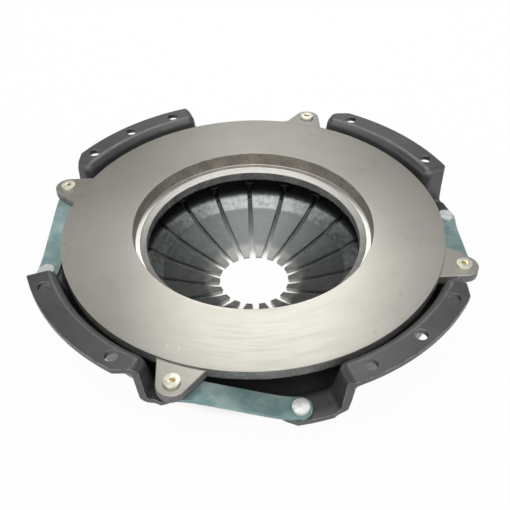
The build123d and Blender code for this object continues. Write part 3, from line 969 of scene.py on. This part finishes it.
def leaf_outline(sizes, span):
    """Plan of a leaf: a long rectangle with large round corners."""
    steps = 10
    low, high = sizes.corner - sizes.overhang, span + sizes.overhang - sizes.corner
    side = sizes.width / 2 - sizes.corner
    outline = []
    for quarter, (x, y) in enumerate(((high, side), (low, side), (low, -side), (high, -side))):
        for step in range(steps + 1):
            angle = math.tau * (quarter / 4 + 0.25 * step / steps)
            along, across = sizes.corner * math.cos(angle), sizes.corner * math.sin(angle)
            outline.append((x + along, y + sizes.inset + across))
    return outline


def add_leaf(sizes, index, level, finish):
    """Builds one leaf: flat at both rivets and sloping between them, from plate to cover."""
    place, span = strap_place(sizes, index)
    low = sizes.seat_height + (sizes.leaves - 1 - level) * sizes.thickness
    high = settings().casting.lug_bottom - (level + 1) * sizes.thickness
    slope = (low - high) / (span - 2 * sizes.flat)
    mesh = bmesh.new()
    face = mesh.faces.new([mesh.verts.new((x, y, 0.0)) for x, y in leaf_outline(sizes, span)])
    raised = bmesh.ops.extrude_face_region(mesh, geom=[face])["geom"]
    for vertex in [item for item in raised if isinstance(item, bmesh.types.BMVert)]:
        vertex.co.z = sizes.thickness
    rims = [e for e in mesh.edges if abs(e.verts[0].co.z - e.verts[1].co.z) < sizes.thickness / 2]
    bmesh.ops.bevel(mesh, geom=rims, offset=sizes.edge, segments=2, profile=0.5, affect="EDGES")
    cuts = 40
    for cut in range(1, cuts):
        spot = (span * cut / cuts, 0, 0)
        everything = list(mesh.verts) + list(mesh.edges) + list(mesh.faces)
        bmesh.ops.bisect_plane(mesh, geom=everything, plane_co=spot, plane_no=(1, 0, 0))
    stray = sizes.stray * noise.noise(Vector((index * 3.1, level * 5.7, 0.4))) * 2
    for vertex in mesh.verts:
        x = vertex.co.x
        if x < span / 2:
            height = high + eased(x, sizes.flat, sizes.ease, 0.0, slope)
        else:
            height = low + eased(x, span - sizes.flat, sizes.ease, slope, 0.0)
        vertex.co.y += stray * math.sin(math.pi * min(max(x / span, 0.0), 1.0))
        vertex.co.z += height
        vertex.co = place @ vertex.co
    name = f"strap_{index + 1}_leaf_{level + 1}"
    piece = add_piece(mesh, name + "_strip", [finish], [name])
    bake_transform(piece)


class CLUTCH_OT_straps(bpy.types.Operator):
    """Builds the leaves of the four drive straps, which bend as the plate moves."""

    bl_idname = "clutch.straps"
    bl_label = "Drive Straps"

    def execute(self, context):
        sizes = settings().strap
        finish = strap_steel()
        for index in range(STRAP_COUNT):
            for level in range(sizes.leaves):
                add_leaf(sizes, index, level, finish)
        return {"FINISHED"}


# Rivets


def strap_rivet_foot(sizes, low):
    """Section of the foot of a rivet that holds a strap."""
    return [
        (0.0, low, 0.0, 0),
        (sizes.foot, low, 0.0008, 0),
        (sizes.foot, low + sizes.foot_height, 0.0003, 0),
        (sizes.shank, low + sizes.foot_height, 0.0, 0),
    ]


def lug_rivet_profile(sizes, low, top):
    """Section of a lug rivet: foot, shank, collar, and a head with a small centre hole."""
    plating, centre = 0, 1
    dish, hole = 0.0030, 0.0015
    head_low = top - sizes.lug_head_height
    collar_low = head_low - sizes.lug_collar_height
    return strap_rivet_foot(sizes, low) + [
        (sizes.shank, collar_low, 0.0, plating),
        (sizes.lug_collar, collar_low, 0.0002, plating),
        (sizes.lug_collar, head_low - 0.0001, 0.0, plating),
        (sizes.lug_head, head_low, 0.0003, plating),
        (sizes.lug_head, top - 0.0002, 0.0005, plating),
        (dish, top, 0.0004, plating),
        (hole + 0.0006, top - 0.0003, 0.0003, centre),
        (hole, top - 0.0004, 0.0002, centre),
        (hole - 0.0001, top - 0.0020, 0.0, centre),
        (0.0, top - 0.0021, 0.0, centre),
    ]


def cover_rivet_profile(sizes, low, top):
    """Section of a cover rivet: foot, shank and a plain, slightly crowned head."""
    head_low = top - sizes.cover_head_height
    return strap_rivet_foot(sizes, low) + [
        (sizes.shank, head_low, 0.0, 0),
        (sizes.cover_head, head_low, 0.0003, 0),
        (sizes.cover_head, top - 0.00003, 0.0006, 0),
        (0.0052, top, 0.001, 0),
        (0.0, top, 0.0, 0),
    ]


def pivot_rivet_profile(sizes, low, top):
    """Section of a pivot rivet: round heads above the upper ring and under the cover."""
    foot_top, head_low = low + sizes.pivot_foot_height, top - sizes.pivot_head_height
    return [
        (0.0, low, 0.0, 0),
        (0.0040, low + 0.0001, 0.001, 0),
        (sizes.pivot_foot, low + 0.0012, 0.0007, 0),
        (sizes.pivot_foot, foot_top, 0.0002, 0),
        (sizes.pivot_shank, foot_top, 0.0, 0),
        (sizes.pivot_shank, head_low, 0.0, 0),
        (sizes.pivot_head, head_low, 0.0002, 0),
        (sizes.pivot_head, top - 0.0010, 0.0007, 0),
        (0.0050, top - 0.0001, 0.001, 0),
        (0.0, top, 0.0, 0),
    ]


def add_strap_rivet(node, profile, finishes):
    """Builds a turned rivet in the place of its CAD node."""
    low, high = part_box(node)
    mesh = bmesh.new()
    points = rounded(profile(settings().rivet, low.z, high.z))
    turn_profile(mesh, points, RIVET_STEPS, ((low + high) / 2)[:2])
    return add_piece(mesh, node + "_turned", finishes, [node])


class CLUTCH_OT_rivets(bpy.types.Operator):
    """Builds the lug rivets, the cover rivets and the ring of pivot rivets."""

    bl_idname = "clutch.rivets"
    bl_label = "Rivets"

    def execute(self, context):
        sizes, spring = settings().rivet, settings().spring
        lug_finishes = [zinc_plate("lug_rivet_zinc", 0.8), copper_centre()]
        cover_finishes = [zinc_plate("cover_rivet_zinc", 0.1)]
        for index in range(1, STRAP_COUNT + 1):
            node = f"lug_rivet_{index}"
            piece = add_strap_rivet(node, lug_rivet_profile, lug_finishes)
            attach(piece, "pressure_plate")
            node = f"strap_rivet_{index}"
            piece = add_strap_rivet(node, cover_rivet_profile, cover_finishes)
            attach(piece, "cover")
        low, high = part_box("pivot_rivets")
        points = rounded(pivot_rivet_profile(sizes, low.z, high.z))
        mesh = bmesh.new()
        for index in range(spring.fingers):
            angle = spring.first_slot + index * math.tau / spring.fingers
            middle = (sizes.pivot_circle * math.cos(angle), sizes.pivot_circle * math.sin(angle))
            turn_profile(mesh, points, PIVOT_RIVET_STEPS, middle)
        finishes = [painted_shade_steel()]
        piece = add_piece(mesh, "pivot_rivets_turned", finishes, ["pivot_rivets"])
        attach(piece, "cover")
        return {"FINISHED"}


class CLUTCH_OT_rings(bpy.types.Operator):
    """Gives the two pivot rings the finish of drawn wire."""

    bl_idname = "clutch.rings"
    bl_label = "Pivot Rings"

    def execute(self, context):
        finish = drawn_wire()
        for name in ("upper_pivot_ring", "lower_pivot_ring"):
            paint_node(name, finish)
        return {"FINISHED"}


class CLUTCH_OT_cover(bpy.types.Operator):
    """Paints the pressed cover."""

    bl_idname = "clutch.cover"
    bl_label = "Cover Paint"

    def execute(self, context):
        paint_node("cover", cover_paint())
        return {"FINISHED"}


# Studio


def add_softbox(name, place, side, power):
    """Adds a square lamp that points at the object."""
    data = bpy.data.lights.new(name, "AREA")
    data.shape = "RECTANGLE"
    data.size, data.size_y = side, side
    data.energy = power
    lamp = placed(name, data)
    lamp.location = place
    lamp.rotation_euler = (-Vector(place)).to_track_quat("-Z", "Y").to_euler()


def floor_finish(studio):
    """Pale floor that camera and mirrors see nearly white, with a painted pool of light glowing under the
    release hole, shadowed under the rest of the object, clear from below.
    """
    made = Finish("pale_floor", (0.82, 0.82, 0.82), 0.0, 0.9)
    radius, painted_light_fade, shadow_fade = made.radius(), 0.012, 0.03
    # The disc under the release hole glows white: a painted pool of light where the floor lies in the object's
    # shadow.
    inner = made.band(radius, studio.painted_light_span, studio.painted_light_span + painted_light_fade, 1.0, 0.0)
    outer = made.band(radius, studio.shadow_span - shadow_fade, studio.shadow_span)
    white = made.times(made.math("MAXIMUM", inner, outer), studio.floor_white)
    rays = made.node("LightPath").outputs
    seen = made.math("MAXIMUM", rays["Is Camera Ray"], rays["Is Glossy Ray"])
    seen = made.math("MAXIMUM", seen, rays["Is Transmission Ray"])
    glow = made.node("Emission", {"Color": (1, 1, 1, 1), "Strength": 1.0}).outputs[0]
    amount = made.times(seen, white)
    mixed = made.node("MixShader", {0: amount, 1: made.surface.outputs[0], 2: glow}).outputs[0]
    behind = made.node("NewGeometry").outputs["Backfacing"]
    clear = made.node("BsdfTransparent").outputs[0]
    mixed = made.node("MixShader", {0: behind, 1: mixed, 2: clear}).outputs[0]
    output = made.tree.nodes["Material Output"]
    made.tree.links.new(mixed, output.inputs["Surface"])
    return made.material


def light_world(studio):
    """Room of soft panels: horizon, low and high sides, softbox skirt, ceiling and front."""
    world = bpy.data.worlds.new("studio_room")
    bpy.context.scene.world = world
    world.use_nodes = True
    sky = NodeTree(world.node_tree)

    def fade(value, middle, soft):
        return sky.band(value, math.radians(middle - soft / 2), math.radians(middle + soft / 2))

    axes = sky.node("SeparateXYZ", {0: sky.node("TexCoord").outputs["Generated"]}).outputs
    height = sky.math("ARCSINE", axes["Z"])
    bearing = sky.math("ARCTAN2", axes["X"], axes["Y"])
    # Brightness, then the lower and upper edge, the left and right edge and the softness in degrees
    panels = (
        (studio.room_level, -10, 91, -181, 181, 0.1),
        (studio.horizon_level, -91, 11, -181, 181, 16.0),
        (studio.low_left, -2, 22, -120, -35, 8.0),
        (studio.low_right, -2, 22, 35, 120, 8.0),
        (studio.skirt_level, 30, 43, -14, 9, 6.0),
        (studio.side_left, 50, 78, -100, -36, 6.0),
        (studio.side_right, 50, 74, 38, 100, 6.0),
        (studio.top_level, 72, 91, -181, 181, 8.0),
        (studio.front_level, 25, 75, 110, 181, 12.0),
        (studio.front_level, 25, 75, -181, -110, 12.0),
    )
    total = None
    for brightness, low, high, left, right, soft in panels:
        panel = brightness
        edges = ((height, low, soft), (height, high, -soft), (bearing, left, soft), (bearing, right, -soft))
        for value, middle, width in edges:
            panel = sky.times(fade(value, middle, width), panel)
        total = sky.math("ADD", total, panel) if total else panel
    background = sky.tree.nodes["Background"]
    background.inputs["Color"].default_value = (1.0, 1.0, 1.0, 1.0)
    sky.feed(background.inputs["Strength"], total)


class CLUTCH_OT_studio(bpy.types.Operator):
    """Sets the floor, the room, the softbox and the camera."""

    bl_idname = "clutch.studio"
    bl_label = "Studio"

    def execute(self, context):
        studio = settings().studio
        scene = bpy.context.scene
        span = studio.floor_span
        mesh = bpy.data.meshes.new("studio_floor")
        corners = ((-span, -span), (span, -span), (span, span), (-span, span))
        mesh.from_pydata([(x, y, FLOOR_HEIGHT) for x, y in corners], [], [(0, 1, 2, 3)])
        mesh.materials.append(floor_finish(studio))
        floor = placed("studio_floor", mesh)
        light_world(studio)
        add_softbox("rear_softbox", studio.rear_place, studio.rear_size, studio.rear_power)
        scene.view_settings.view_transform = "Standard"
        data = bpy.data.cameras.new("photo_camera")
        data.sensor_width = 36.0
        data.lens = studio.lens
        data.clip_start, data.clip_end = 0.01, 100.0
        camera = placed("photo_camera", data)
        look = Vector(studio.target) - Vector(studio.eye)
        turned = look.to_track_quat("-Z", "Y").to_matrix() @ Matrix.Rotation(studio.roll, 3, "Z")
        camera.matrix_world = Matrix.Translation(studio.eye) @ turned.to_4x4()
        scene.camera = camera
        return {"FINISHED"}


class CLUTCH_PT_sidebar(bpy.types.Panel):
    """Sidebar tab of the clutch pressure plate."""

    bl_label = "Clutch Pressure Plate"
    bl_idname = "CLUTCH_PT_sidebar"
    bl_space_type = "VIEW_3D"
    bl_region_type = "UI"
    bl_category = "Clutch"

    def draw(self, context):
        layout = self.layout
        for operator in OPERATORS:
            layout.operator(operator.bl_idname)
        groups = context.scene.clutch_plate
        for name in PlateProperties.__annotations__:
            group = getattr(groups, name)
            box = layout.box()
            box.label(text=name.title())
            for key in group.__annotations__:
                box.prop(group, key)


GROUPS = (CastingSizes, SpringSizes, StrapSizes, RivetSizes, FinishColours, StudioSettings, PlateProperties)
OPERATORS = (
    CLUTCH_OT_cover,
    CLUTCH_OT_casting,
    CLUTCH_OT_spring,
    CLUTCH_OT_straps,
    CLUTCH_OT_rivets,
    CLUTCH_OT_rings,
    CLUTCH_OT_studio,
)


def register():
    """Registers the groups, the operators and the sidebar."""
    for item in (*GROUPS, *OPERATORS, CLUTCH_PT_sidebar):
        bpy.utils.register_class(item)
    bpy.types.Scene.clutch_plate = bpy.props.PointerProperty(type=PlateProperties)


def unregister():
    """Takes everything out again."""
    del bpy.types.Scene.clutch_plate
    for item in reversed((*GROUPS, *OPERATORS, CLUTCH_PT_sidebar)):
        bpy.utils.unregister_class(item)


def main():
    """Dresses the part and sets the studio."""
    register()
    bpy.ops.clutch.cover()
    bpy.ops.clutch.casting()
    bpy.ops.clutch.spring()
    bpy.ops.clutch.straps()
    bpy.ops.clutch.rivets()
    bpy.ops.clutch.rings()
    bpy.ops.clutch.studio()


if __name__ == "__main__":
    main()
